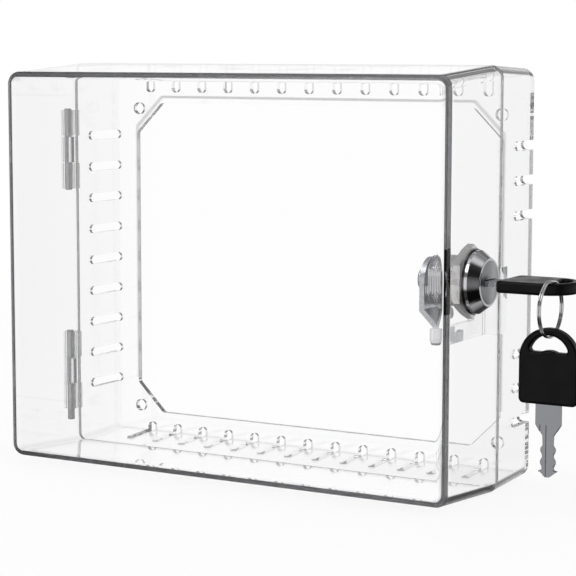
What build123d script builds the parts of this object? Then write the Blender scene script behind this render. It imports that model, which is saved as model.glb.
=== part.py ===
"""Clear plastic guard box with a key lock, for a wall-mounted thermostat.

A shallow base tray screws to the wall and frames the thermostat.  A deep clear cover
closes over it on two pin hinges and is locked by a cam lock in its right-hand wall.
A key stands in the lock, and a spare key hangs from it on a split ring.

Frame, in millimetres: origin on the wall face, midway between the four wall screws;
+X to the lock side, +Y into the wall, +Z up.
"""
from build123d import *
import math
import os

os.makedirs("parts", exist_ok=True)

# ---------------------------------------------------------------- driving dimensions
# box
box_width = 196.0
box_height = 162.0
base_depth = 30.0
cover_depth = 46.7
seam_gap = 0.3
wall = 2.5
front_plate = 2.5
back_plate = 2.5
cover_draft_degrees = 4.0
base_draft_degrees = 2.3
corner_radius = 5.0
front_edge_radius = 3.5
rim_edge_radius = 0.4
back_edge_radius = 0.8

# wall side of the base tray
opening_margin_x = 13.6
opening_margin_z = 14.2
opening_chamfer = 12.5
opening_corner_radius = 2.0
screw_inset_x = 14.5
screw_inset_z = 16.5
screws_below_middle = 2.7
screw_hole_radius = 2.5

# break-out slots for the cable, round the back edge
slot_width = 3.7
slot_pitch_x = 12.95
slot_pitch_z = 13.3
slots_across = 13
slots_up = 9
slot_reach_top = 20.0
slot_reach_left = 21.0
slot_reach_right = 16.5
slot_on_plate_top = 9.6
slot_on_plate_side = 4.5
slot_keepout_round_lock = 20.0

# hinges
hinge_pin_radius = 1.5
hinge_barrel_radius = 2.9
hinge_wall_gap = 0.8
hinge_forward = 0.5
hinge_height = 33.0
knuckle_gap = 0.4
knuckle_web = 2.3
upper_hinge_below_top = 36.0
lower_hinge_above_bottom = 32.0
upper_pin_below = 0.6
lower_pin_below = 5.0
pin_above = 0.6
pin_chamfer = 0.3
push_clearance = 0.02
running_clearance = 0.05
weld_depth = 0.5

# lock: placed by its axis, which runs along X
lock_y = -51.0
lock_above_middle = 2.35
lock_tip_room = 0.9
lock_thread_radius = 9.5
thread_pitch = 1.25
thread_depth = 0.6
thread_first = 1.2
lock_flat_half = 8.25
lock_hole_clearance = 0.1
bezel_radius = 11.75
bezel_flange = 1.2
bezel_height = 5.0
bezel_rim_radius = 8.9
bezel_rim_edge = 0.3
lock_nut_across_flats = 24.0
lock_nut_thickness = 3.5
lock_nut_chamfer = 1.0
lock_nut_chamfer_reach = 1.5
lock_washer_radius = 12.2
lock_washer_thickness = 0.6

# plug and what it carries
plug_radius = 6.5
plug_head_radius = 8.0
plug_head_recess = 2.5
plug_head_play = 0.2
face_cap_thickness = 0.5
tail_side = 7.0
tail_clearance = 0.05
tail_end_gap = 0.2
end_gap = 0.3
stop_washer_thickness = 1.1
stop_washer_radius = 7.2
stop_ear_radius = 9.0
stop_ear_direction = 90.0
stop_ear_degrees = 20.0
stop_lug_inner_radius = 7.5
stop_lug_outer_radius = 9.3
stop_lug_margin = 1.0
lock_turn_degrees = 90.0
spring_washer_thickness = 0.8
spring_washer_radius = 4.6
spring_washer_split = 0.5
screw_head_radius = 4.2
screw_head_height = 2.4
screw_head_edge = 0.8
screw_radius = 2.0
screw_clearance = 0.15
screw_hole_floor = 0.5
screw_end_gap = 0.3
screw_recess_width = 1.0
screw_recess_depth = 1.2

# wafer tumblers
wafer_count = 5
wafer_pitch = 2.2
wafer_first = 4.2
wafer_thickness = 1.0
wafer_length = 11.8
wafer_height = 5.0
wafer_clearance = 0.05
wafer_lug = 1.7
wafer_lug_width = 1.0
wafer_lug_offset = -1.1
wafer_channel_reach = 7.3
wafer_channel_clearance = 0.2
wafer_window_height = 2.6
tumbler_spring_radius = 0.36
tumbler_spring_wire = 0.13
tumbler_spring_length = 3.3
tumbler_spring_turns = 6
tumbler_spring_sides = 8
tumbler_spring_gap = 0.2

# cam: a bent hook that swings behind the striker peg
cam_thickness = 2.0
cam_hub_radius = 8.5
cam_reach = 22.9
cam_joggle = 5.5
cam_joggle_start = 10.2
cam_bend_degrees = 45.0
striker_radius_from_axis = 17.0
striker_peg_radius = 2.0
striker_clearance = 0.5
striker_peg_depth = 3.1
hook_toe = 5.0
hook_web = 2.7

# strike arm, moulded to the base tray
arm_thickness = 3.0
arm_height = 6.5
arm_drop = 22.5
arm_front = 16.0
arm_front_flat = 0.1
arm_cam_gap = 0.5
post_front = 11.5
post_top = 3.0
arm_back = 8.0
arm_block_inset = 0.5

# keys
key_head_length = 27.6
key_head_width = 22.4
key_head_thickness = 4.4
key_head_corner = 2.0
key_head_edge = 1.1
key_bow_bar = 2.7
key_hole_width = 15.2
key_hole_depth = 6.0
key_hole_corner = 1.0
key_hole_bump = 0.7
key_hole_bump_width = 6.0
blade_thickness = 2.0
blade_width = 7.0
blade_length = 26.4
collar_width = 9.4
collar_length = 7.4
collar_taper = 4.0
blade_neck_width = 4.2
blade_tip_width = 1.2
blade_tip_shoulder_width = 6.9
blade_tip_length = 2.2
blade_groove_width = 1.4
blade_groove_depth = 0.45
blade_groove_offset = 2.4
blade_tang = 14.0
bit_flat = 0.5
bit_depths = (1.5, 0.7, 1.35, 0.65, 1.25)
key_clearance = 0.2
key_shoulder_gap = 6.9
keyway_mouth_depth = 2.6

# split ring
ring_outer_radius = 10.3
ring_wire_radius = 0.38
ring_coil_gap = 0.05
ring_turns = 2
ring_clearance = 0.15
ring_end_degrees = 200.0
spare_hang_gap = 0.35

# ---------------------------------------------------------------- derived places
half_width = box_width / 2
half_height = box_height / 2
box_z = screws_below_middle
box_top_z = box_z + half_height
box_bottom_z = box_z - half_height
lock_z = box_z + lock_above_middle
seam_y = -base_depth
cover_rim_y = seam_y - seam_gap
front_y = cover_rim_y - cover_depth
inner_half_width = half_width - wall
opening_width = box_width - 2 * opening_margin_x
opening_height = box_height - 2 * opening_margin_z
screw_spacing_x = box_width - 2 * screw_inset_x
screw_spacing_z = box_height - 2 * screw_inset_z

upper_hinge_z = box_top_z - upper_hinge_below_top
lower_hinge_z = box_bottom_z + lower_hinge_above_bottom
hinge_x = -(half_width + hinge_wall_gap + hinge_barrel_radius)
hinge_y = seam_y - hinge_forward
knuckle_height = (hinge_height - 2 * knuckle_gap) / 3
knuckle_pitch = knuckle_height + knuckle_gap

lock_face_x = half_width + bezel_height
key_shoulder_x = lock_face_x + key_shoulder_gap
key_tip_x = key_shoulder_x - blade_length
lock_end_x = key_tip_x - lock_tip_room
lock_under_head = half_width - lock_end_x
plug_head_x = lock_face_x - plug_head_recess
plug_end_x = lock_end_x - end_gap
stop_washer_x = plug_end_x - stop_washer_thickness
cam_x = stop_washer_x - cam_thickness
spring_washer_x = cam_x - spring_washer_thickness
cam_tip_x = cam_x + cam_joggle
arm_x = cam_tip_x + cam_thickness + arm_cam_gap
keyway_end_x = key_tip_x - key_clearance
nut_x = inner_half_width - lock_washer_thickness - lock_nut_thickness

ring_radius = ring_outer_radius - ring_wire_radius
key_bar_half = (key_head_width - key_hole_width) / 4
key_bar_offset = key_hole_width / 2 + key_bar_half
edge_y = key_bar_half - key_head_edge
edge_z = key_head_thickness / 2 - key_head_edge
key_bar_reach = math.hypot(edge_y, edge_z) + key_head_edge
ring_drop = ring_radius - ring_wire_radius - key_bar_reach - ring_clearance
ring_pitch = 2 * ring_wire_radius + ring_coil_gap
ring_half_thickness = ring_pitch * ring_turns / 2 + ring_wire_radius
key_hole_start = key_head_length - key_bow_bar - key_hole_depth
ring_x = key_shoulder_x + key_hole_start + key_hole_bump + ring_half_thickness + ring_clearance
ring_y = lock_y - key_bar_offset
ring_z = lock_z - ring_drop
spare_pivot_z = ring_z - ring_radius
spare_hole_top_z = spare_pivot_z + ring_wire_radius + spare_hang_gap
spare_shoulder_z = spare_hole_top_z + key_bow_bar - key_head_length


def lock_plane(x):
    """Plane across the lock axis at x, with +Y to its right and +Z up."""
    return Plane(origin=(x, lock_y, lock_z), x_dir=(0, 1, 0), z_dir=(1, 0, 0))


lock_side = Plane(origin=(0, lock_y, lock_z), x_dir=(1, 0, 0), z_dir=(0, -1, 0))
lock_axis = Axis((0, lock_y, lock_z), (1, 0, 0))
key_plane = Plane(origin=(key_shoulder_x, lock_y, lock_z), x_dir=(1, 0, 0), z_dir=(0, 0, 1))
spare_plane = Plane(origin=(ring_x, ring_y, spare_shoulder_z), x_dir=(0, 0, 1), z_dir=(0, -1, 0))


def write(part, name):
    """Label a finished piece and write its STEP file."""
    part.label = name
    export_step(part, f"parts/{name}.step")


def knuckle_levels(middle):
    """Lower ends of the outer two knuckles (base) and of the middle one (cover)."""
    levels = []
    for hinge_z in (lower_hinge_z, upper_hinge_z):
        bottom = hinge_z - hinge_height / 2
        steps = (1,) if middle else (0, 2)
        levels += [bottom + step * knuckle_pitch for step in steps]
    return levels


def drafted_block(far_y, rim_y, draft_degrees, inset):
    """Rounded block between two depths; its top and bottom draw in from the rim."""
    draw_in = abs(far_y - rim_y) * math.tan(math.radians(draft_degrees))
    reach = half_height - inset
    with BuildPart() as block:
        with BuildSketch(Plane.YZ):
            with BuildLine():
                Polyline((rim_y, box_z + reach), (far_y, box_z + reach - draw_in),
                         (far_y, box_z - reach + draw_in), (rim_y, box_z - reach), close=True)
            make_face()
        extrude(amount=half_width - inset, both=True)
        fillet(block.edges().group_by(Axis.Y)[1], corner_radius - inset)
    return block.part


# ---------------------------------------------------------------- base tray
side_slot_levels = [(i - (slots_up - 1) / 2) * slot_pitch_z for i in range(slots_up)]
lock_side_levels = [z for z in side_slot_levels if abs(z - lock_z) > slot_keepout_round_lock]
back_draw_in = base_depth * math.tan(math.radians(base_draft_degrees))

with BuildPart() as base_tray:
    add(drafted_block(0, seam_y, base_draft_degrees, 0))
    fillet(base_tray.faces().sort_by(Axis.Y)[-1].edges(), back_edge_radius)
    fillet(base_tray.faces().sort_by(Axis.Y)[0].edges(), rim_edge_radius)
    add(drafted_block(-back_plate, seam_y, base_draft_degrees, wall), mode=Mode.SUBTRACT)
    # opening for the thermostat's wall plate
    with BuildSketch(Plane.XZ) as opening:
        Rectangle(opening_width, opening_height)
        chamfer(opening.vertices(), opening_chamfer)
        fillet(opening.vertices(), opening_corner_radius)
    extrude(amount=back_plate, mode=Mode.SUBTRACT)
    with BuildSketch(Plane.XZ):
        with GridLocations(screw_spacing_x, screw_spacing_z, 2, 2):
            Circle(screw_hole_radius)
    extrude(amount=back_plate, mode=Mode.SUBTRACT)
    # slots, first on the back plate and then along the walls
    with BuildSketch(Plane.XZ):
        with GridLocations(slot_pitch_x, box_height, slots_across, 2):
            SlotOverall(2 * slot_on_plate_top, slot_width, rotation=90)
        with Locations([(-half_width, z) for z in side_slot_levels]):
            SlotOverall(2 * slot_on_plate_side, slot_width)
        with Locations([(half_width, z) for z in lock_side_levels]):
            SlotOverall(2 * slot_on_plate_side, slot_width)
    extrude(amount=back_plate, mode=Mode.SUBTRACT)
    for level in (box_top_z - wall - back_draw_in, box_bottom_z):
        with BuildSketch(Plane.XY.offset(level)):
            with GridLocations(slot_pitch_x, 0, slots_across, 1):
                SlotOverall(2 * slot_reach_top, slot_width, rotation=90)
        extrude(amount=wall + back_draw_in, mode=Mode.SUBTRACT)
    with BuildSketch(Plane.YZ.offset(-half_width)):
        with Locations([(0, z) for z in side_slot_levels]):
            SlotOverall(2 * slot_reach_left, slot_width)
    extrude(amount=wall, mode=Mode.SUBTRACT)
    with BuildSketch(Plane.YZ.offset(inner_half_width)):
        with Locations([(0, z) for z in lock_side_levels]):
            SlotOverall(2 * slot_reach_right, slot_width)
    extrude(amount=wall, mode=Mode.SUBTRACT)
    # hinge knuckles, each on a web that stands on the left wall
    web_length = hinge_wall_gap + hinge_barrel_radius + weld_depth
    for level in knuckle_levels(middle=False):
        with BuildSketch(Plane.XY.offset(level)):
            with Locations((hinge_x, hinge_y)):
                Circle(hinge_barrel_radius)
            with Locations((hinge_x, hinge_y + hinge_barrel_radius)):
                Rectangle(web_length, knuckle_web, align=(Align.MIN, Align.MAX))
            with Locations((hinge_x, hinge_y)):
                Circle(hinge_pin_radius + push_clearance, mode=Mode.SUBTRACT)
        extrude(amount=knuckle_height)
    # strike arm: a bar under the lock, a taller post at the seam and the striker peg
    with BuildSketch(lock_plane(arm_x)) as arm_face:
        arm_run = seam_y + arm_back - lock_y
        with Locations((-arm_front, -arm_drop)):
            Rectangle(arm_front + arm_run, arm_height, align=(Align.MIN, Align.MIN))
        fillet(arm_face.vertices().group_by(Axis.Y)[0], (arm_height - arm_front_flat) / 2)
        with Locations((post_front, -arm_drop)):
            Rectangle(arm_run - post_front, arm_drop + post_top, align=(Align.MIN, Align.MIN))
    extrude(amount=arm_thickness)
    with BuildSketch(lock_plane(arm_x)):
        with Locations((striker_radius_from_axis, 0)):
            Circle(striker_peg_radius)
    extrude(amount=-striker_peg_depth)
    with BuildSketch(lock_plane(arm_x + arm_thickness)):
        with Locations((arm_run, -arm_drop)):
            Rectangle(arm_back - arm_block_inset, arm_drop + post_top, align=(Align.MAX, Align.MIN))
    extrude(until=Until.NEXT)
write(base_tray.part, "base_tray")

# ---------------------------------------------------------------- front cover
with BuildPart() as front_cover:
    add(drafted_block(front_y, cover_rim_y, cover_draft_degrees, 0))
    fillet(front_cover.faces().sort_by(Axis.Y)[0].edges(), front_edge_radius)
    fillet(front_cover.faces().sort_by(Axis.Y)[-1].edges(), rim_edge_radius)
    add(drafted_block(front_y + front_plate, cover_rim_y, cover_draft_degrees, wall),
        mode=Mode.SUBTRACT)
    # hole that keeps the lock body from turning
    with BuildSketch(lock_plane(inner_half_width)):
        Circle(lock_thread_radius + lock_hole_clearance)
        Rectangle(2 * (lock_flat_half + lock_hole_clearance), box_height, mode=Mode.INTERSECT)
    extrude(amount=wall, mode=Mode.SUBTRACT)
    for level in knuckle_levels(middle=True):
        with BuildSketch(Plane.XY.offset(level)):
            with Locations((hinge_x, hinge_y)):
                Circle(hinge_barrel_radius)
            with Locations((hinge_x, hinge_y - hinge_barrel_radius)):
                Rectangle(web_length, knuckle_web, align=(Align.MIN, Align.MIN))
            with Locations((hinge_x, hinge_y)):
                Circle(hinge_pin_radius + running_clearance, mode=Mode.SUBTRACT)
        extrude(amount=knuckle_height)
write(front_cover.part, "front_cover")

# ---------------------------------------------------------------- hinge pins
pin_ends = {"upper_hinge_pin": (upper_hinge_z, upper_pin_below),
            "lower_hinge_pin": (lower_hinge_z, lower_pin_below)}
for pin_name, (hinge_z, below) in pin_ends.items():
    with BuildPart() as hinge_pin:
        with BuildSketch(Plane.XY.offset(hinge_z - hinge_height / 2 - below)):
            with Locations((hinge_x, hinge_y)):
                Circle(hinge_pin_radius)
        extrude(amount=below + hinge_height + pin_above)
        chamfer(hinge_pin.edges().filter_by(GeomType.CIRCLE), pin_chamfer)
    write(hinge_pin.part, pin_name)

# ---------------------------------------------------------------- lock housing
with BuildPart() as lock_housing:
    with BuildSketch(lock_side):
        with BuildLine():
            Polyline((lock_end_x, 0), (lock_end_x, lock_thread_radius),
                     (half_width, lock_thread_radius), (half_width, bezel_radius),
                     (half_width + bezel_flange, bezel_radius),
                     (lock_face_x, bezel_rim_radius), (lock_face_x, 0), close=True)
        make_face()
    revolve(axis=lock_axis)
    fillet(lock_housing.edges().filter_by(GeomType.CIRCLE).group_by(Axis.X)[-1], bezel_rim_edge)
    # thread, as rings of V grooves
    groove_x = lock_end_x + thread_first
    while groove_x + thread_pitch < half_width:
        with BuildSketch(lock_side):
            with BuildLine():
                Polyline((groove_x - thread_depth, lock_thread_radius),
                         (groove_x, lock_thread_radius - thread_depth),
                         (groove_x + thread_depth, lock_thread_radius), close=True)
            make_face()
        revolve(axis=lock_axis, mode=Mode.SUBTRACT)
        groove_x += thread_pitch
    # two flats that stop the body turning in the cover
    with BuildSketch(lock_plane(lock_end_x)):
        Rectangle(4 * bezel_radius, 4 * bezel_radius)
        Rectangle(2 * lock_flat_half, 4 * bezel_radius, mode=Mode.SUBTRACT)
    extrude(amount=lock_under_head, mode=Mode.SUBTRACT)
    # lug at the inner end that the stop washer's ear runs against
    with BuildSketch(lock_plane(lock_end_x)):
        Circle(stop_lug_outer_radius)
        Circle(stop_lug_inner_radius, mode=Mode.SUBTRACT)
        Rectangle(2 * lock_flat_half, 4 * bezel_radius, mode=Mode.INTERSECT)
        ear_room = lock_turn_degrees + stop_ear_degrees + 2 * stop_lug_margin
        ear_room_start = stop_ear_direction - stop_ear_degrees / 2 - stop_lug_margin
        with BuildLine():
            room = CenterArc((0, 0), 2 * stop_lug_outer_radius, ear_room_start, ear_room)
            Line((0, 0), room @ 0)
            Line((0, 0), room @ 1)
        make_face(mode=Mode.SUBTRACT)
    extrude(amount=-stop_washer_thickness)
    # bore for the plug, recess for its head and channels for the wafers
    with BuildSketch(lock_plane(lock_end_x)):
        Circle(plug_radius + running_clearance)
    extrude(amount=lock_under_head + bezel_height, mode=Mode.SUBTRACT)
    with BuildSketch(lock_plane(plug_head_x)):
        Circle(plug_head_radius + running_clearance)
    extrude(amount=plug_head_recess, mode=Mode.SUBTRACT)
    channel_start = lock_end_x + wafer_first - wafer_thickness
    channel_length = (wafer_count - 1) * wafer_pitch + 2 * wafer_thickness
    with BuildSketch(lock_plane(channel_start)):
        Rectangle(2 * wafer_channel_reach, wafer_height + 2 * wafer_channel_clearance)
    extrude(amount=channel_length, mode=Mode.SUBTRACT)
write(lock_housing.part, "lock_housing")

# ---------------------------------------------------------------- lock nut and washer
with BuildPart() as lock_washer:
    with BuildSketch(lock_plane(inner_half_width - lock_washer_thickness)):
        Circle(lock_washer_radius)
        Circle(lock_thread_radius + lock_hole_clearance, mode=Mode.SUBTRACT)
    extrude(amount=lock_washer_thickness)
write(lock_washer.part, "lock_washer")

nut_corner_radius = lock_nut_across_flats / 2 / math.cos(math.radians(30))
with BuildPart() as lock_nut:
    with BuildSketch(lock_plane(nut_x)):
        RegularPolygon(lock_nut_across_flats / 2, 6, major_radius=False, rotation=30)
    extrude(amount=lock_nut_thickness)
    with BuildSketch(lock_side):
        with BuildLine():
            Polyline((nut_x, 0), (nut_x, nut_corner_radius - lock_nut_chamfer_reach),
                     (nut_x + lock_nut_chamfer, nut_corner_radius),
                     (nut_x + lock_nut_thickness, nut_corner_radius),
                     (nut_x + lock_nut_thickness, 0), close=True)
        make_face()
    revolve(axis=lock_axis, mode=Mode.INTERSECT)
    with BuildSketch(lock_plane(nut_x)):
        Circle(lock_thread_radius + running_clearance)
    extrude(amount=lock_nut_thickness, mode=Mode.SUBTRACT)
write(lock_nut.part, "lock_nut")

# ---------------------------------------------------------------- plug
wafer_stations = [lock_end_x + wafer_first + i * wafer_pitch for i in range(wafer_count)]
slot_thickness = wafer_thickness + 2 * wafer_clearance
plug_face_x = lock_face_x - face_cap_thickness
spring_level = wafer_height / 2 + wafer_lug / 2
spring_start = wafer_lug_offset + wafer_lug_width / 2 + tumbler_spring_gap
pocket_start = wafer_lug_offset - wafer_lug_width
pocket_length = spring_start + tumbler_spring_length + tumbler_spring_gap - pocket_start

with BuildPart() as lock_plug:
    with BuildSketch(lock_plane(plug_end_x)):
        Circle(plug_radius)
    extrude(amount=plug_head_x + plug_head_play - plug_end_x)
    with BuildSketch(lock_plane(plug_head_x + plug_head_play)):
        Circle(plug_head_radius)
    extrude(amount=plug_face_x - plug_head_x - plug_head_play)
    with BuildSketch(lock_plane(plug_end_x)):
        Rectangle(tail_side, tail_side)
    extrude(amount=-(stop_washer_thickness + cam_thickness - tail_end_gap))
    # keyway: wide at the mouth for the key's collar, then as wide as the blade
    with BuildSketch(lock_plane(keyway_end_x)):
        Rectangle(blade_width + 2 * key_clearance, blade_thickness + 2 * key_clearance)
    extrude(amount=plug_face_x - keyway_end_x, mode=Mode.SUBTRACT)
    with BuildSketch(lock_plane(lock_face_x - keyway_mouth_depth)):
        Rectangle(collar_width + 2 * key_clearance, blade_thickness + 2 * key_clearance)
    extrude(amount=keyway_mouth_depth, mode=Mode.SUBTRACT)
    # one slot right across for each wafer, with a pocket for its lug and spring
    for station in wafer_stations:
        with BuildSketch(lock_plane(station - slot_thickness / 2)):
            Rectangle(4 * plug_radius, wafer_height + 2 * wafer_clearance)
            with Locations((pocket_start, 0)):
                Rectangle(pocket_length, wafer_height / 2 + wafer_lug + wafer_clearance,
                          align=(Align.MIN, Align.MIN))
        extrude(amount=slot_thickness, mode=Mode.SUBTRACT)
    # threaded hole for the cam screw
    screw_hole_x = keyway_end_x - screw_hole_floor
    with BuildSketch(lock_plane(screw_hole_x)):
        Circle(screw_radius)
    extrude(amount=-(screw_hole_x - cam_x), mode=Mode.SUBTRACT)
write(lock_plug.part, "lock_plug")

with BuildPart() as plug_face_cap:
    with BuildSketch(lock_plane(plug_face_x)):
        Circle(plug_head_radius)
        Rectangle(collar_width + 2 * key_clearance, blade_thickness + 2 * key_clearance,
                  mode=Mode.SUBTRACT)
    extrude(amount=face_cap_thickness)
write(plug_face_cap.part, "plug_face_cap")

# ---------------------------------------------------------------- wafers and their springs
with BuildPart() as wafer_tumblers:
    for station in wafer_stations:
        with BuildSketch(lock_plane(station - wafer_thickness / 2)):
            Rectangle(wafer_length, wafer_height)
            with Locations((wafer_lug_offset, 0)):
                Rectangle(wafer_lug_width, wafer_height / 2 + wafer_lug,
                          align=(Align.CENTER, Align.MIN))
            Rectangle(blade_width + 2 * key_clearance, wafer_window_height, mode=Mode.SUBTRACT)
        extrude(amount=wafer_thickness)
write(wafer_tumblers.part, "wafer_tumblers")

with BuildPart() as wafer_springs:
    for station in wafer_stations:
        spring_foot = Vector(station, lock_y + spring_start, lock_z + spring_level)
        with BuildLine():
            coil = Helix(tumbler_spring_length / tumbler_spring_turns, tumbler_spring_length,
                         tumbler_spring_radius, center=spring_foot, direction=(0, 1, 0))
        with BuildSketch(Plane(origin=coil @ 0, z_dir=coil % 0)):
            RegularPolygon(tumbler_spring_wire, tumbler_spring_sides)
        sweep(path=coil, is_frenet=True)
write(wafer_springs.part, "wafer_springs")

# ---------------------------------------------------------------- stop washer, cam and screw
with BuildPart() as stop_washer:
    with BuildSketch(lock_plane(stop_washer_x)):
        Circle(stop_washer_radius)
        with BuildLine():
            ear = CenterArc((0, 0), stop_ear_radius, stop_ear_direction - stop_ear_degrees / 2,
                            stop_ear_degrees)
            Line((0, 0), ear @ 0)
            Line((0, 0), ear @ 1)
        make_face()
        Rectangle(tail_side + 2 * tail_clearance, tail_side + 2 * tail_clearance,
                  mode=Mode.SUBTRACT)
    extrude(amount=stop_washer_thickness)
write(stop_washer.part, "stop_washer")

peg_inner = striker_radius_from_axis - striker_peg_radius - striker_clearance
peg_outer = striker_radius_from_axis + striker_peg_radius + striker_clearance
cam_bend = math.radians(cam_bend_degrees)
bend_shift = cam_thickness * math.tan(cam_bend / 2)
joggle_end = cam_joggle_start + cam_joggle / math.tan(cam_bend)
with BuildPart() as lock_cam:
    # strip bent twice towards the cover's wall, seen along Y
    with BuildSketch(lock_side):
        with BuildLine():
            Polyline((cam_x + cam_thickness, cam_hub_radius),
                     (cam_x + cam_thickness, -cam_joggle_start),
                     (cam_tip_x + cam_thickness, -joggle_end),
                     (cam_tip_x + cam_thickness, -cam_reach),
                     (cam_tip_x, -cam_reach),
                     (cam_tip_x, -joggle_end - bend_shift),
                     (cam_x, -cam_joggle_start - bend_shift),
                     (cam_x, cam_hub_radius), close=True)
        make_face()
    extrude(amount=cam_hub_radius, both=True)
    # its outline, seen along the lock axis
    with BuildSketch(lock_plane(cam_x)) as cam_outline:
        Circle(cam_reach)
        with Locations((-cam_hub_radius, -cam_reach)):
            Rectangle(2 * cam_hub_radius, cam_reach, align=(Align.MIN, Align.MIN),
                      mode=Mode.INTERSECT)
        Circle(cam_hub_radius)
        with Locations((hook_toe, -cam_reach)):
            Rectangle(cam_hub_radius, cam_reach - peg_inner, align=(Align.MIN, Align.MIN),
                      mode=Mode.SUBTRACT)
    extrude(amount=cam_joggle + cam_thickness, mode=Mode.INTERSECT)
    # arc slot that swallows the striker peg, open on the leading side
    with BuildSketch(lock_plane(cam_x)):
        Circle(peg_outer)
        Circle(peg_inner, mode=Mode.SUBTRACT)
        with Locations((-hook_web, 0)):
            Rectangle(2 * cam_reach, 2 * cam_reach, align=(Align.MIN, Align.CENTER),
                      mode=Mode.INTERSECT)
    extrude(amount=cam_joggle + cam_thickness, mode=Mode.SUBTRACT)
    with BuildSketch(lock_plane(cam_x)):
        Rectangle(tail_side + 2 * tail_clearance, tail_side + 2 * tail_clearance)
    extrude(amount=cam_thickness, mode=Mode.SUBTRACT)
write(lock_cam.part, "lock_cam")

with BuildPart() as cam_spring_washer:
    with BuildSketch(lock_plane(spring_washer_x)):
        Circle(spring_washer_radius)
        Circle(screw_radius + screw_clearance, mode=Mode.SUBTRACT)
        with Locations((0, spring_washer_radius - screw_radius)):
            Rectangle(spring_washer_split, spring_washer_radius, mode=Mode.SUBTRACT)
    extrude(amount=spring_washer_thickness)
write(cam_spring_washer.part, "cam_spring_washer")

with BuildPart() as cam_screw:
    with BuildSketch(lock_plane(spring_washer_x)):
        Circle(screw_head_radius)
    extrude(amount=-screw_head_height)
    fillet(cam_screw.edges().group_by(Axis.X)[0], screw_head_edge)
    with BuildSketch(lock_plane(spring_washer_x)):
        Circle(screw_radius)
    extrude(amount=screw_hole_x - screw_end_gap - spring_washer_x)
    with BuildSketch(lock_plane(spring_washer_x - screw_head_height)):
        Rectangle(screw_head_radius, screw_recess_width)
        Rectangle(screw_recess_width, screw_head_radius)
    extrude(amount=screw_recess_depth, mode=Mode.SUBTRACT)
write(cam_screw.part, "cam_screw")


# ---------------------------------------------------------------- keys
def bitted_edge(side):
    """Points of one cut edge of the blade, from the collar to the tip."""
    points = [(-collar_length, side * collar_width / 2),
              (-collar_length - collar_taper, side * blade_neck_width / 2)]
    for station, depth in zip(reversed(wafer_stations), bit_depths):
        middle = station - key_shoulder_x
        root = side * (blade_width / 2 - depth)
        points += [(middle + bit_flat, root), (middle - bit_flat, root)]
    points += [(-blade_length + blade_tip_length, side * blade_tip_shoulder_width / 2)]
    points += [(-blade_length, side * blade_tip_width / 2)]
    return points


def key_blade_on(plane):
    """Flat key blade with both edges cut; its shoulder stands on the plane's origin."""
    with BuildPart() as blade:
        with BuildSketch(plane.offset(-blade_thickness / 2)):
            with BuildLine():
                Polyline(*bitted_edge(1), *reversed(bitted_edge(-1)), close=True)
            make_face()
            with Locations((-collar_length, 0)):
                Rectangle(collar_length, collar_width, align=(Align.MIN, Align.CENTER))
            Rectangle(blade_tang, blade_width, align=(Align.MIN, Align.CENTER))
        extrude(amount=blade_thickness)
        for side in (1, -1):
            with BuildSketch(plane.offset(side * blade_thickness / 2)):
                with Locations((-blade_length, 0), (-blade_length, side * blade_groove_offset)):
                    Rectangle(blade_length - collar_length, blade_groove_width,
                              align=(Align.MIN, Align.CENTER))
            extrude(amount=-side * blade_groove_depth, mode=Mode.SUBTRACT)
    return blade.part


def key_head_on(plane):
    """Moulded key head with a domed bow and a kidney hole, closed round the blade's tang."""
    half = key_head_width / 2
    hole_half = key_hole_width / 2
    hole_top = key_head_length - key_bow_bar
    with BuildPart() as head:
        with BuildSketch(plane.offset(-key_head_thickness / 2)) as outline:
            Rectangle(key_head_length - half, key_head_width, align=(Align.MIN, Align.CENTER))
            fillet(outline.vertices().group_by(Axis.X)[0], key_head_corner)
            with Locations((key_head_length - half, 0)):
                Circle(half)
        extrude(amount=key_head_thickness)
        with BuildSketch(plane.offset(-key_head_thickness / 2)) as hole:
            with BuildLine():
                bow = ThreePointArc((key_hole_start, -hole_half), (hole_top, 0),
                                    (key_hole_start, hole_half))
                Line(bow @ 0, bow @ 1)
            make_face()
            with BuildLine():
                bump = ThreePointArc((key_hole_start, -key_hole_bump_width / 2),
                                     (key_hole_start + key_hole_bump, 0),
                                     (key_hole_start, key_hole_bump_width / 2))
                Line(bump @ 0, bump @ 1)
            make_face(mode=Mode.SUBTRACT)
            fillet(hole.vertices(), key_hole_corner)
        extrude(amount=key_head_thickness, mode=Mode.SUBTRACT)
        broad_faces = head.faces().filter_by(GeomType.PLANE).sort_by(SortBy.AREA)[-2:]
        fillet(broad_faces.edges(), key_head_edge)
        with BuildSketch(plane.offset(-blade_thickness / 2)):
            Rectangle(blade_tang, blade_width, align=(Align.MIN, Align.CENTER))
        extrude(amount=blade_thickness, mode=Mode.SUBTRACT)
    return head.part


write(key_blade_on(key_plane), "key_blade")
write(key_head_on(key_plane), "key_head")
write(key_blade_on(spare_plane), "spare_key_blade")
write(key_head_on(spare_plane), "spare_key_head")

# ---------------------------------------------------------------- split ring
with BuildPart() as key_ring:
    with BuildLine():
        turns = Helix(ring_pitch, ring_pitch * ring_turns, ring_radius,
                      center=(ring_x - ring_pitch * ring_turns / 2, ring_y, ring_z),
                      direction=(1, 0, 0))
    with BuildSketch(Plane(origin=turns @ 0, z_dir=turns % 0)):
        Circle(ring_wire_radius)
    sweep(path=turns, is_frenet=True)
write(key_ring.part, "key_ring")
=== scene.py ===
"""Clear thermostat guard with a cam lock, its key and a spare key: finishes and studio."""

import math

import bpy
from bpy.props import FloatProperty, FloatVectorProperty, PointerProperty
from mathutils import Matrix, Vector


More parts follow.
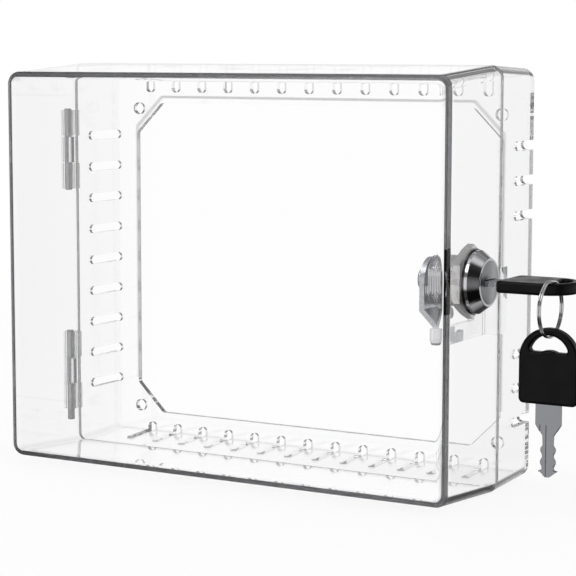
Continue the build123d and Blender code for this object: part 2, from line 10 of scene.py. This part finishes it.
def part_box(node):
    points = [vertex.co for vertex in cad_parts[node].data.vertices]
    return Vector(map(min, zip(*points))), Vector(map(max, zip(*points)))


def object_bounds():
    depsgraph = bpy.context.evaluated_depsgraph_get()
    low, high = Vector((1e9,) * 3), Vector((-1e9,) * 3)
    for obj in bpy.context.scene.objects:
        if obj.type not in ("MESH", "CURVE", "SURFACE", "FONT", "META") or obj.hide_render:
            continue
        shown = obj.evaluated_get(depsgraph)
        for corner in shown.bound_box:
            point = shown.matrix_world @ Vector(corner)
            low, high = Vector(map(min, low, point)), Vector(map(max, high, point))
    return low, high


bl_info = {
    "name": "Thermostat Guard",
    "version": (1, 0, 0),
    "blender": (4, 5, 0),
    "location": "View3D > Sidebar > Guard",
    "description": "Gives a clear thermostat guard, its lock and its keys their real finishes",
    "category": "Object",
}

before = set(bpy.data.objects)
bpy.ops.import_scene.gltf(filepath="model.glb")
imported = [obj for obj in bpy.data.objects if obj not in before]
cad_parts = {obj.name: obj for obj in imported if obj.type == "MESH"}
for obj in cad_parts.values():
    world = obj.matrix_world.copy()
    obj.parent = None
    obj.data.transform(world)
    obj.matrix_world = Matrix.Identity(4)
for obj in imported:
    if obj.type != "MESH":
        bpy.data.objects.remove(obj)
CAD_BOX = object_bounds()

MM = 0.001
WHITE = (1, 1, 1, 1)

# ------------------------------------------------------------------ places on the object
# the tray's rim and the cover's rim meet 0.3 mm apart, either side of this depth
SEAM_Y = -30.15 * MM
# the tray's eight-sided opening: its middle, and how far from there its sides, its top and
# bottom edges and its cut corners are
OPENING_MIDDLE = (0, 0, 2.7 * MM)
OPENING_SIDE = 84.4 * MM
OPENING_EDGE = 66.8 * MM
OPENING_CORNER = 98.1 * MM
DIAGONAL = math.sqrt(0.5)
# the lock's thread: its pitch, how far its ridges rise, how far it reaches from its axis, and
# the side wall that it stops at
THREAD_PITCH = 1.0 * MM
THREAD_RISE = 0.12 * MM
THREAD_REACH = 9.8 * MM
WALL_X = 95.2 * MM
# about the middle of the box in depth: the floor lies round it, and the lamp aims at it
MIDDLE_Y = -40 * MM

# ------------------------------------------------------------------ camera and studio
CAMERA_PLACE = Vector((396.74, -705.83, 88.12)) * MM
# its turn in radians: to the right of straight ahead, downwards, and about the line of sight
CAMERA_YAW = -0.5243
CAMERA_PITCH = 0.1187
CAMERA_ROLL = 0.0014
# plain millimetres, as Blender's camera takes them
LENS = 123.18
SENSOR_WIDTH = 36.0
# what is nearer than this isn't drawn
NEAREST = 10 * MM

# the studio's brightness by direction, as pairs of place and grey level. Once round, from -X
# by -Y (0.25), +X (0.5) and +Y (0.75) back to -X:
STUDIO_SIDES = (
    (0.0, 1.0), (0.06, 1.0),         # left soft box
    (0.09, 0.05), (0.13, 0.05),      # dark gap
    (0.155, 1.0), (0.36, 1.0),       # front soft box
    (0.39, 0.08), (0.46, 0.08),      # dark gap
    (0.5, 0.9), (0.58, 0.9),         # right soft box
    (0.61, 0.7), (0.69, 0.7),        # dimmer join, mirrored by the lock's side of the box
    (0.72, 1.0), (0.86, 1.0),        # back soft box
    (0.9, 0.3), (0.96, 0.3),         # grey gap
    (1.0, 1.0))                      # left soft box again
# and from straight down to straight up:
STUDIO_HEIGHTS = (
    (0.0, 0.9),                      # floor
    (0.1, 0.05), (0.28, 0.05),       # dark under the soft boxes
    (0.36, 1.0), (0.63, 1.0),        # soft boxes
    (0.68, 0.2), (0.8, 0.2),         # dark over them
    (0.85, 0.45), (0.9, 0.45),       # grey edge of the ceiling
    (0.93, 1.0), (1.0, 1.0))         # lit ceiling
# light that is trapped in a long edge of plastic needs many bounces to come out
BOUNCES = 40


def srgb(colour):
    """An sRGB hex colour as the linear values that a shader socket takes."""
    channels = [int(colour[i:i + 2], 16) / 255 for i in (1, 3, 5)]
    return [c / 12.92 if c <= 0.04045 else ((c + 0.055) / 1.055) ** 2.4 for c in channels]


def middle_of(node):
    """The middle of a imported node's box."""
    low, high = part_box(node)
    return (Vector(low) + Vector(high)) / 2


# ------------------------------------------------------------------ settings
class GuardFinish(bpy.types.PropertyGroup):
    """Colours and surface qualities of the guard's own materials."""

    plastic_tint: FloatVectorProperty(
        name="Plastic tint", description="What the clear plastic lets through over the tint depth",
        subtype="COLOR", default=srgb("#F5F5F6"), min=0.0, max=1.0)
    tint_depth: FloatProperty(
        name="Tint depth", description="Length of plastic that gives the plastic tint",
        subtype="DISTANCE", unit="LENGTH", default=20 * MM, min=1 * MM)
    chrome_roughness: FloatProperty(
        name="Chrome roughness", description="How much the plated lock scatters its reflections",
        default=0.07, min=0.0, max=1.0)
    key_colour: FloatVectorProperty(
        name="Key head colour", description="Colour of the moulded key heads",
        subtype="COLOR", default=srgb("#050506"), min=0.0, max=1.0)
    key_grain: FloatProperty(
        name="Key head grain", description="Size of the grain moulded into the key heads",
        subtype="DISTANCE", unit="LENGTH", default=0.35 * MM, min=0.05 * MM)


class GuardStage(bpy.types.PropertyGroup):
    """Floor, light and camera."""

    floor_radius: FloatProperty(
        name="Floor radius",
        description="The floor starts to fade at half this radius and is gone at twice it",
        subtype="DISTANCE", unit="LENGTH", default=0.45, min=0.1)
    shadow_depth: FloatProperty(
        name="Shadow depth", description="Share of the real shadow that shows on the white floor",
        subtype="FACTOR", default=0.18, min=0.0, max=1.0)
    daylight: FloatProperty(
        name="Ambient light", description="Strength of the white surroundings on matt surfaces",
        default=0.8, min=0.0, max=2.0)
    key_light: FloatProperty(
        name="Key light", description="Power of the large soft light above the front",
        subtype="POWER", unit="POWER", default=6.0, min=0.0)


# ------------------------------------------------------------------ node and material helpers
def add_node(tree, kind, inputs=(), **settings):
    """Add a node: settings are its attributes, inputs the values or outputs for its sockets."""
    node = tree.nodes.new(kind)
    for name, value in settings.items():
        setattr(node, name, value)
    for name, value in dict(inputs).items():
        if isinstance(value, bpy.types.NodeSocket):
            tree.links.new(value, node.inputs[name])
        else:
            node.inputs[name].default_value = value
    return node


def compute(tree, operation, *values):
    """The result of a sum or comparison of values or outputs."""
    node = add_node(tree, "ShaderNodeMath", enumerate(values), operation=operation)
    return node.outputs["Value"]


def remap(tree, value, source, target, **settings):
    """A value carried from one range to another, and held at its ends."""
    node = add_node(tree, "ShaderNodeMapRange",
                    {"Value": value, "From Min": source[0], "From Max": source[1],
                     "To Min": target[0], "To Max": target[1]}, **settings)
    return node.outputs["Result"]


def mix_colours(tree, share, first, second, **settings):
    """A share of the second colour over the first."""
    node = add_node(tree, "ShaderNodeMix", {"Factor": share, "A": first, "B": second},
                    data_type="RGBA", **settings)
    return node.outputs["Result"]


def mix_shaders(tree, share, first, second):
    """A share of the second shader over the first."""
    node = add_node(tree, "ShaderNodeMixShader", {0: share, 1: first, 2: second})
    return node.outputs["Shader"]


def grey_ramp(tree, place, stops):
    """A colour ramp read at a place; its stops are pairs of place and grey level."""
    node = add_node(tree, "ShaderNodeValToRGB", {"Fac": place})
    ramp = node.color_ramp
    while len(ramp.elements) > 1:
        ramp.elements.remove(ramp.elements[-1])
    for number, (position, level) in enumerate(stops):
        stop = ramp.elements[0] if number == 0 else ramp.elements.new(position)
        stop.position = position
        stop.color = (level, level, level, 1)
    return node.outputs["Color"]


def noise(tree, vector, size, detail):
    """Soft noise round 0.5, with features of a real size."""
    node = add_node(tree, "ShaderNodeTexNoise",
                    {"Vector": vector, "Scale": 1 / size, "Detail": detail})
    return node.outputs["Fac"]


def relief(tree, height, distance, strength=1.0, over=None, **settings):
    """The normal of a surface with a relief, laid over another relief if there is one."""
    inputs = {"Height": height, "Strength": strength, "Distance": distance}
    if over:
        inputs["Normal"] = over
    return add_node(tree, "ShaderNodeBump", inputs, **settings).outputs["Normal"]


def start_material(name):
    """An empty node material and its tree."""
    material = bpy.data.materials.new(name)
    material.use_nodes = True
    material.node_tree.nodes.clear()
    return material, material.node_tree


def place_on(tree, centre=(0, 0, 0), stretch=(1, 1, 1)):
    """Object coordinates seen from a centre, stretched along the axes."""
    coordinates = add_node(tree, "ShaderNodeTexCoord").outputs["Object"]
    return add_node(tree, "ShaderNodeMapping",
                    {"Vector": coordinates, "Scale": stretch,
                     "Location": [-c * s for c, s in zip(centre, stretch)]}).outputs["Vector"]


def along_axis(tree, axis):
    """How far a point stands along X, Y or Z."""
    return add_node(tree, "ShaderNodeSeparateXYZ", {"Vector": place_on(tree)}).outputs[axis]


def distance_from(tree, centre=(0, 0, 0), stretch=(1, 1, 1)):
    """How far a point stands from a centre, once the axes are stretched."""
    return add_node(tree, "ShaderNodeVectorMath", {0: place_on(tree, centre, stretch)},
                    operation="LENGTH").outputs["Value"]


def off_x_axis(tree, centre):
    """How far a point stands from the line through a centre that runs along X."""
    return distance_from(tree, centre, (0, 1, 1))


def finish_surface(tree, inputs):
    """A Principled surface that reaches the output."""
    shader = add_node(tree, "ShaderNodeBsdfPrincipled", inputs)
    output = add_node(tree, "ShaderNodeOutputMaterial", {"Surface": shader.outputs["BSDF"]})
    return shader, output


def dress(material, *nodes):
    """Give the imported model's nodes a finish."""
    for name in nodes:
        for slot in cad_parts[name].material_slots:
            slot.material = material


# ------------------------------------------------------------------ materials
def off_opening(tree):
    """How far a point stands from the outline of the tray's eight-sided opening."""
    quarter = add_node(tree, "ShaderNodeVectorMath", {0: place_on(tree, OPENING_MIDDLE)},
                       operation="ABSOLUTE").outputs["Vector"]
    beyond = []
    for way, distance in (((1, 0, 0), OPENING_SIDE), ((0, 0, 1), OPENING_EDGE),
                          ((DIAGONAL, 0, DIAGONAL), OPENING_CORNER)):
        along = add_node(tree, "ShaderNodeVectorMath", {0: quarter, 1: way},
                         operation="DOT_PRODUCT").outputs["Value"]
        beyond.append(compute(tree, "SUBTRACT", along, distance))
    side, edge, corner = beyond
    outside = compute(tree, "MAXIMUM", compute(tree, "MAXIMUM", side, edge), corner)
    return compute(tree, "ABSOLUTE", outside)


def opening_frost(tree):
    """1 along the opening's cut edge, which is left frosted, and 0 elsewhere."""
    frosted_reach, clear_reach = 0.4 * MM, 0.65 * MM
    return remap(tree, off_opening(tree), (frosted_reach, clear_reach), (1.0, 0.0))


def clearness_with_painted_seam_shade(tree):
    """How clear the plastic is: 1, but little on the two rims that meet.

    There the colour is painted dark and little light goes through: a painted shade that draws a
    dark hairline all round the box.
    """
    # painted shade along the seam: fully dark within the first reach, clear again beyond the
    # second
    painted_shade_reach, clear_reach = 0.17 * MM, 0.25 * MM
    rim_share = 0.2
    off_seam = compute(tree, "ABSOLUTE", compute(tree, "SUBTRACT", along_axis(tree, "Y"), SEAM_Y))
    return remap(tree, off_seam, (painted_shade_reach, clear_reach), (rim_share, 1.0))


def clear_polycarbonate(finish, name, opening=False):
    """Injection-moulded clear polycarbonate.

    Water-clear and glossy, with the faint ripple of a moulded sheet and fine rub marks that
    catch the light; edge on, the long way through turns it grey.
    """
    # painted shade: the dark colour given to the rims where the tray and the cover meet
    painted_seam_shade_colour = (0.11, 0.11, 0.115, 1)
    frost_colour, frost_roughness = (0.6, 0.6, 0.61, 1), 0.4
    lamp_share = (0.9, 0.9, 0.9, 1)
    # rub marks, drawn 1 mm wide and 14 mm long so that they show; only the noise's peaks scatter
    rub_width, rub_stretch = 1.0 * MM, (1, 1, 0.07)
    rub_peaks, rub_roughness = (0.62, 0.78), 0.015
    # flow ripple, far too shallow to feel
    ripple_width, ripple_depth = 22 * MM, 0.015 * MM

    material, tree = start_material(name)
    rubs = noise(tree, place_on(tree, stretch=rub_stretch), rub_width, detail=3.0)
    roughness = remap(tree, rubs, rub_peaks, (0.0, rub_roughness))
    # painted shade on the seam's rims: a dark colour and little transmission there
    clearness = clearness_with_painted_seam_shade(tree)
    colour = mix_colours(tree, clearness, painted_seam_shade_colour, WHITE)
    if opening:
        # a soft grey outline about 1 mm wide
        frost = opening_frost(tree)
        colour = mix_colours(tree, frost, colour, frost_colour)
        roughness = compute(tree, "MAXIMUM", roughness,
                            compute(tree, "MULTIPLY", frost, frost_roughness))
    ripple = noise(tree, place_on(tree), ripple_width, detail=1.0)
    shader, output = finish_surface(
        tree, {"Base Color": colour, "Roughness": roughness, "IOR": 1.585,
               "Transmission Weight": clearness, "Normal": relief(tree, ripple, ripple_depth)})
    # lamps reach what stands behind the plastic
    lamp_ray = add_node(tree, "ShaderNodeLightPath").outputs["Is Shadow Ray"]
    lamp_through = add_node(tree, "ShaderNodeBsdfTransparent", {"Color": lamp_share})
    surface = mix_shaders(tree, lamp_ray, shader.outputs["BSDF"], lamp_through.outputs["BSDF"])
    tree.links.new(surface, output.inputs["Surface"])
    absorption = add_node(tree, "ShaderNodeVolumeAbsorption",
                          {"Color": (*finish.plastic_tint, 1), "Density": 1 / finish.tint_depth})
    tree.links.new(absorption.outputs["Volume"], output.inputs["Volume"])
    return material


def cut_thread(tree, over):
    """Relief of the screw thread, on the part of the lock's body that is inside the box."""
    along = along_axis(tree, "X")
    ridges = compute(tree, "SINE", compute(tree, "MULTIPLY", along, math.tau / THREAD_PITCH))
    on_thread = compute(tree, "LESS_THAN", off_x_axis(tree, middle_of("lock_housing")),
                        THREAD_REACH)
    inside = compute(tree, "LESS_THAN", along, WALL_X)
    height = compute(tree, "MULTIPLY", ridges, compute(tree, "MULTIPLY", on_thread, inside))
    return relief(tree, height, THREAD_RISE, over=over)


def plated_metal(name, colour, roughness, haze=0.08, scratch=0.4 * MM, stretch=(1, 1, 1),
                 threaded=False):
    """Plated or drawn metal: bright, with fine marks that haze the reflections in streaks."""
    mark_span, mark_depth, mark_strength = (0.3, 0.7), 0.01 * MM, 0.15
    material, tree = start_material(name)
    marks = noise(tree, place_on(tree, stretch=stretch), scratch, detail=4.0)
    rough = remap(tree, marks, mark_span, (roughness, roughness + haze))
    normal = relief(tree, marks, mark_depth, mark_strength)
    if threaded:
        normal = cut_thread(tree, normal)
    finish_surface(tree, {"Base Color": (*srgb(colour), 1), "Metallic": 1.0,
                          "Roughness": rough, "Normal": normal})
    return material


def spun_cap(centre):
    """Stainless cap, spun on a lathe: fine rings round the key slot, slightly domed."""
    ring_spacing, ring_depth, ring_strength = 0.25 * MM, 0.02 * MM, 0.4
    smoothest, roughest = 0.2, 0.4
    # the dome falls by this much times the square of the distance from the axis, in metres
    dome_fall = 18.0
    material, tree = start_material("spun_stainless_cap")
    radius = off_x_axis(tree, centre)
    rings = add_node(tree, "ShaderNodeTexNoise",
                     {"W": radius, "Scale": 1 / ring_spacing, "Detail": 3.0},
                     noise_dimensions="1D").outputs["Fac"]
    tooled = relief(tree, rings, ring_depth, ring_strength)
    crown = relief(tree, compute(tree, "POWER", radius, 2.0), dome_fall, over=tooled, invert=True)
    finish_surface(tree, {"Base Color": (*srgb("#929396"), 1), "Metallic": 1.0,
                          "Roughness": remap(tree, rings, (0.0, 1.0), (smoothest, roughest)),
                          "Normal": crown})
    return material


def moulded_abs(finish):
    """Black ABS key head, moulded in a spark-eroded tool: deep black with a fine grain."""
    grain_depth, grain_strength = 0.05 * MM, 0.25
    # handling polishes the grain in patches
    patch_size, patch_span = 6 * MM, (0.35, 0.65)
    polished, unpolished = 0.3, 0.42
    material, tree = start_material("moulded_black_abs")
    grain = noise(tree, place_on(tree), finish.key_grain, detail=2.0)
    patches = noise(tree, place_on(tree), patch_size, detail=2.0)
    finish_surface(tree, {"Base Color": (*finish.key_colour, 1),
                          "Roughness": remap(tree, patches, patch_span,
                                             (polished, unpolished)),
                          "IOR": 1.5, "Specular IOR Level": 0.15,
                          "Normal": relief(tree, grain, grain_depth, grain_strength)})
    return material


# ------------------------------------------------------------------ pieces
class GUARD_OT_shells(bpy.types.Operator):
    """Give the tray and the cover their clear plastic"""
    bl_idname = "guard.shells"
    bl_label = "Clear Shells"

    def execute(self, context):
        finish = context.scene.guard_finish
        dress(clear_polycarbonate(finish, "clear_polycarbonate_tray", opening=True), "base_tray")
        dress(clear_polycarbonate(finish, "clear_polycarbonate_cover"), "front_cover")
        return {"FINISHED"}


class GUARD_OT_hinge_pins(bpy.types.Operator):
    """Give the hinge pins their drawn steel"""
    bl_idname = "guard.hinge_pins"
    bl_label = "Hinge Pins"

    def execute(self, context):
        # drawn bar: streaks 0.2 mm wide run along the pin
        dress(plated_metal("drawn_steel_pin", "#85868A", roughness=0.08, haze=0.05,
                           scratch=0.2 * MM, stretch=(1, 1, 0.05)),
              "upper_hinge_pin", "lower_hinge_pin")
        return {"FINISHED"}


class GUARD_OT_lock(bpy.types.Operator):
    """Give the lock's body, nut and face their plating"""
    bl_idname = "guard.lock"
    bl_label = "Lock Body"

    def execute(self, context):
        finish = context.scene.guard_finish
        # polished die-cast zinc under chrome: mirror bright with a faint orange peel
        dress(plated_metal("chrome_plated_zinc", "#D2D2D5", finish.chrome_roughness,
                           haze=0.05, scratch=0.8 * MM, threaded=True), "lock_housing")
        # rolled brass under nickel: flats keep the cutter's streaks
        dress(plated_metal("nickel_plated_brass", "#C8C6C4", roughness=0.16,
                           scratch=0.3 * MM, stretch=(0.1, 1, 1)), "lock_nut")
        dress(spun_cap(middle_of("plug_face_cap")), "plug_face_cap")
        # plain spring steel, rumbled: dark and slightly mottled
        dress(plated_metal("rumbled_spring_steel", "#77787B", roughness=0.28, haze=0.15),
              "lock_washer", "cam_spring_washer", "stop_washer")
        return {"FINISHED"}


class GUARD_OT_works(bpy.types.Operator):
    """Give the plug, its tumblers, the cam and its screw their metals"""
    bl_idname = "guard.works"
    bl_label = "Lock Works"

    def execute(self, context):
        # die-cast zinc with a dull nickel flash
        dress(plated_metal("nickel_flashed_zinc", "#A7A8AA", roughness=0.3, haze=0.12),
              "lock_plug")
        # bright zinc on bent strip: cool, with cloudy passivation
        dress(plated_metal("zinc_plated_steel", "#B4B6BA", roughness=0.24, haze=0.14,
                           scratch=1.2 * MM), "lock_cam", "cam_screw")
        # stamped brass sheet with a lengthwise roll grain
        dress(plated_metal("stamped_brass", "#C9A85C", roughness=0.26, scratch=0.25 * MM,
                           stretch=(1, 0.15, 1)), "wafer_tumblers")
        # drawn music wire
        dress(plated_metal("drawn_music_wire", "#9A9A9D", roughness=0.22, scratch=0.1 * MM),
              "wafer_springs")
        return {"FINISHED"}


class GUARD_OT_keys(bpy.types.Operator):
    """Give the keys and their ring their finishes"""
    bl_idname = "guard.keys"
    bl_label = "Keys And Ring"

    def execute(self, context):
        dress(moulded_abs(context.scene.guard_finish), "key_head", "spare_key_head")
        # milled nickel-silver blanks: cutter streaks along each blade
        for name, node, stretch in (
                ("milled_nickel_silver", "key_blade", (0.08, 1, 1)),
                ("milled_nickel_silver_hanging", "spare_key_blade", (1, 1, 0.08))):
            dress(plated_metal(name, "#8E8F93", roughness=0.14, scratch=0.2 * MM,
                               stretch=stretch), node)
        # hard-drawn wire under bright nickel
        dress(plated_metal("nickel_plated_wire", "#D0D0D2", roughness=0.05, haze=0.04),
              "key_ring")
        return {"FINISHED"}


# ------------------------------------------------------------------ stage
def aim_camera():
    """Camera in front, over towards the lock side, level with the top: a long lens."""
    flat = math.cos(CAMERA_PITCH)
    forward = Vector((math.sin(CAMERA_YAW) * flat, math.cos(CAMERA_YAW) * flat,
                      -math.sin(CAMERA_PITCH)))
    level = Vector((math.cos(CAMERA_YAW), -math.sin(CAMERA_YAW), 0))
    right = level * math.cos(CAMERA_ROLL) + level.cross(forward) * math.sin(CAMERA_ROLL)
    up = right.cross(forward)
    data = bpy.data.cameras.new("camera")
    data.lens = LENS
    data.sensor_width = SENSOR_WIDTH
    data.clip_start = NEAREST
    camera = bpy.data.objects.new("camera", data)
    bpy.context.collection.objects.link(camera)
    place = Matrix((right, up, -forward)).transposed().to_4x4()
    place.translation = CAMERA_PLACE
    camera.matrix_world = place
    bpy.context.scene.camera = camera


def studio_walls(tree):
    """Brightness of the studio by direction: white soft boxes with dark gaps between them."""
    direction = add_node(tree, "ShaderNodeTexCoord").outputs["Generated"]
    parts = add_node(tree, "ShaderNodeSeparateXYZ", {"Vector": direction})
    turn = compute(tree, "ARCTAN2", parts.outputs["Y"], parts.outputs["X"])
    round_share = remap(tree, turn, (-math.pi, math.pi), (0.0, 1.0))
    height_share = remap(tree, parts.outputs["Z"], (-1.0, 1.0), (0.0, 1.0))
    return mix_colours(tree, 1.0, grey_ramp(tree, round_share, STUDIO_SIDES),
                       grey_ramp(tree, height_share, STUDIO_HEIGHTS), blend_type="MULTIPLY")


def background(tree, colour, strength=1.0):
    """A plain background of a colour and strength."""
    node = add_node(tree, "ShaderNodeBackground", {"Color": colour, "Strength": strength})
    return node.outputs["Background"]


def white_surroundings(stage):
    """White backdrop for the eye; metal and the plastic's edges see the studio round it."""
    world = bpy.data.worlds.new("studio")
    world.use_nodes = True
    bpy.context.scene.world = world
    tree = world.node_tree
    tree.nodes.clear()
    path = add_node(tree, "ShaderNodeLightPath").outputs
    # straight through the plastic the eye sees the backdrop; once reflected, the studio
    unreflected = compute(tree, "LESS_THAN", path["Glossy Depth"], 0.5)
    through = compute(tree, "MULTIPLY", path["Is Transmission Ray"], unreflected)
    sees_backdrop = compute(tree, "MAXIMUM", path["Is Camera Ray"], through)
    sees_studio = compute(tree, "MAXIMUM", path["Is Glossy Ray"], path["Is Transmission Ray"])
    indirect = mix_shaders(tree, sees_studio, background(tree, WHITE, stage.daylight),
                           background(tree, studio_walls(tree)))
    surroundings = mix_shaders(tree, sees_backdrop, indirect, background(tree, WHITE))
    add_node(tree, "ShaderNodeOutputWorld", {"Surface": surroundings})


def pale_floor(stage):
    """A round white floor that keeps a soft shadow and fades out into the backdrop."""
    fade_start, fade_end = 0.5 * stage.floor_radius, 2 * stage.floor_radius
    rim = 3 * stage.floor_radius
    floor_white = (0.95, 0.95, 0.95, 1)
    bottom = CAD_BOX[0][2]
    bpy.ops.object.select_all(action="DESELECT")
    bpy.ops.mesh.primitive_circle_add(vertices=96, radius=rim, fill_type="NGON",
                                      location=(0, MIDDLE_Y, bottom))
    floor = bpy.context.active_object
    floor.name = "floor"
    bpy.ops.object.transform_apply(location=True)
    material, tree = start_material("white_floor")
    fade = remap(tree, distance_from(tree), (fade_start, fade_end), (0.0, 1.0),
                 interpolation_type="SMOOTHSTEP")
    path = add_node(tree, "ShaderNodeLightPath").outputs
    seen = compute(tree, "MAXIMUM", path["Is Camera Ray"], path["Is Transmission Ray"])
    white_share = compute(tree, "MULTIPLY", seen, 1 - stage.shadow_depth)
    matt = add_node(tree, "ShaderNodeBsdfDiffuse", {"Color": floor_white}).outputs["BSDF"]
    glow = add_node(tree, "ShaderNodeEmission", {"Color": WHITE, "Strength": 1.0})
    lit = mix_shaders(tree, white_share, matt, glow.outputs["Emission"])
    # reflections see the studio, not the floor
    gone = compute(tree, "MAXIMUM", fade, path["Is Glossy Ray"])
    clear = add_node(tree, "ShaderNodeBsdfTransparent").outputs["BSDF"]
    add_node(tree, "ShaderNodeOutputMaterial", {"Surface": mix_shaders(tree, gone, lit, clear)})
    floor.data.materials.append(material)


def soft_light(name, location, target, size, power):
    """A large square area light."""
    data = bpy.data.lights.new(name, "AREA")
    data.shape = "SQUARE"
    data.size = size
    data.energy = power
    lamp = bpy.data.objects.new(name, data)
    bpy.context.collection.objects.link(lamp)
    lamp.location = location
    lamp.rotation_euler = (Vector(target) - Vector(location)).to_track_quat("-Z", "Y").to_euler()


class GUARD_OT_stage(bpy.types.Operator):
    """Build the floor, the light and the camera"""
    bl_idname = "guard.stage"
    bl_label = "Stage"

    def execute(self, context):
        stage = context.scene.guard_stage
        aim_camera()
        cycles = context.scene.cycles
        cycles.max_bounces = cycles.transmission_bounces = cycles.glossy_bounces = BOUNCES
        white_surroundings(stage)
        pale_floor(stage)
        soft_light("soft_key", location=(-0.5, -0.9, 1.2), target=(0, MIDDLE_Y, 0), size=0.8,
                   power=stage.key_light)
        return {"FINISHED"}


class GUARD_PT_panel(bpy.types.Panel):
    """Buttons for the guard's pieces"""
    bl_idname = "GUARD_PT_panel"
    bl_label = "Thermostat Guard"
    bl_space_type = "VIEW_3D"
    bl_region_type = "UI"
    bl_category = "Guard"

    def draw(self, context):
        for operator in OPERATORS:
            self.layout.operator(operator.bl_idname)


OPERATORS = (GUARD_OT_stage, GUARD_OT_shells, GUARD_OT_hinge_pins, GUARD_OT_lock,
             GUARD_OT_works, GUARD_OT_keys)
CLASSES = (GuardFinish, GuardStage, *OPERATORS, GUARD_PT_panel)


def register():
    """Register the classes and the scene's settings."""
    for item in CLASSES:
        bpy.utils.register_class(item)
    bpy.types.Scene.guard_finish = PointerProperty(type=GuardFinish)
    bpy.types.Scene.guard_stage = PointerProperty(type=GuardStage)


def unregister():
    """Take everything that register added away."""
    del bpy.types.Scene.guard_stage
    del bpy.types.Scene.guard_finish
    for item in reversed(CLASSES):
        bpy.utils.unregister_class(item)


def main():
    """Run every operator in order."""
    register()
    bpy.context.scene.view_settings.view_transform = "Standard"
    bpy.ops.guard.stage()
    bpy.ops.guard.shells()
    bpy.ops.guard.hinge_pins()
    bpy.ops.guard.lock()
    bpy.ops.guard.works()
    bpy.ops.guard.keys()


if __name__ == "__main__":
    main()
